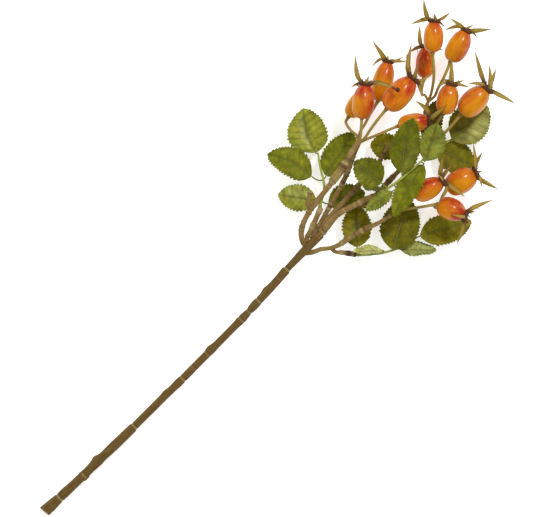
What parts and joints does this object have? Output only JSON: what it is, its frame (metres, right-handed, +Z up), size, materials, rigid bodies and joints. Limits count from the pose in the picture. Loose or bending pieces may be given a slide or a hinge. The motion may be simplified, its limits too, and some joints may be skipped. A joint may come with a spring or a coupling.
{
  "type": "rose hip sprig",
  "caption": "Cut sprig of rose hips lying down: arching stem, side branches, toothed compound leaves and glossy orange-red hips with spread sepals.",
  "frame": {"origin": "on the table, under the middle of the sprig's own box", "axes": "+X along the stem from its cut end to the hips, +Y to the stem's left, +Z up from the table"},
  "size_m": [0.5284, 0.1646, 0.0706],
  "materials": {
    "stem_bark": "ridged olive-brown bark with pale node rings",
    "leaf_stalk": "smooth satin green skin",
    "leaf_blade": "satin leaf with a pale midrib and toothed edge",
    "hip_skin": "waxy gloss fruit skin, orange to red",
    "calyx": "dry matt sepal tissue, dark at the crown"
  },
  "bodies": {
    "root": {"main_stem": "stem_bark", "left_branch": "stem_bark", "left_branch_stub": "stem_bark", "inner_branch": "stem_bark", "left_leaf_spur": "stem_bark", "middle_branch": "stem_bark", "front_branch": "stem_bark", "front_fork": "stem_bark", "right_branch": "stem_bark", "right_leaf_spur": "stem_bark", "left_leaf_stalk": "leaf_stalk", "front_leaf_stalk": "leaf_stalk", "back_leaf_stalk": "leaf_stalk", "right_leaf_stalk": "leaf_stalk", "left_leaflet_1": "leaf_blade", "left_leaflet_2": "leaf_blade", "left_leaflet_3": "leaf_blade", "left_leaflet_4": "leaf_blade", "left_leaflet_5": "leaf_blade", "front_leaflet_1": "leaf_blade", "front_leaflet_2": "leaf_blade", "front_leaflet_3": "leaf_blade", "front_leaflet_4": "leaf_blade", "front_leaflet_5": "leaf_blade", "front_leaflet_6": "leaf_blade", "back_leaflet_1": "leaf_blade", "back_leaflet_2": "leaf_blade", "back_leaflet_3": "leaf_blade", "right_leaflet_1": "leaf_blade", "right_leaflet_2": "leaf_blade", "right_leaflet_3": "leaf_blade", "right_leaflet_4": "leaf_blade", "right_leaflet_5": "leaf_blade", "middle_leaflet": "leaf_blade", "hip_01": "hip_skin", "hip_02": "hip_skin", "hip_03": "hip_skin", "hip_04": "hip_skin", "hip_05": "hip_skin", "hip_06": "hip_skin", "hip_07": "hip_skin", "hip_08": "hip_skin", "hip_09": "hip_skin", "hip_10": "hip_skin", "hip_11": "hip_skin", "hip_12": "hip_skin", "hip_13": "hip_skin", "calyx_01": "calyx", "calyx_02": "calyx", "calyx_03": "calyx", "calyx_04": "calyx", "calyx_05": "calyx", "calyx_06": "calyx", "calyx_07": "calyx", "calyx_08": "calyx", "calyx_09": "calyx", "calyx_10": "calyx", "calyx_11": "calyx", "calyx_12": "calyx", "calyx_13": "calyx"}
  },
  "joints": []
}
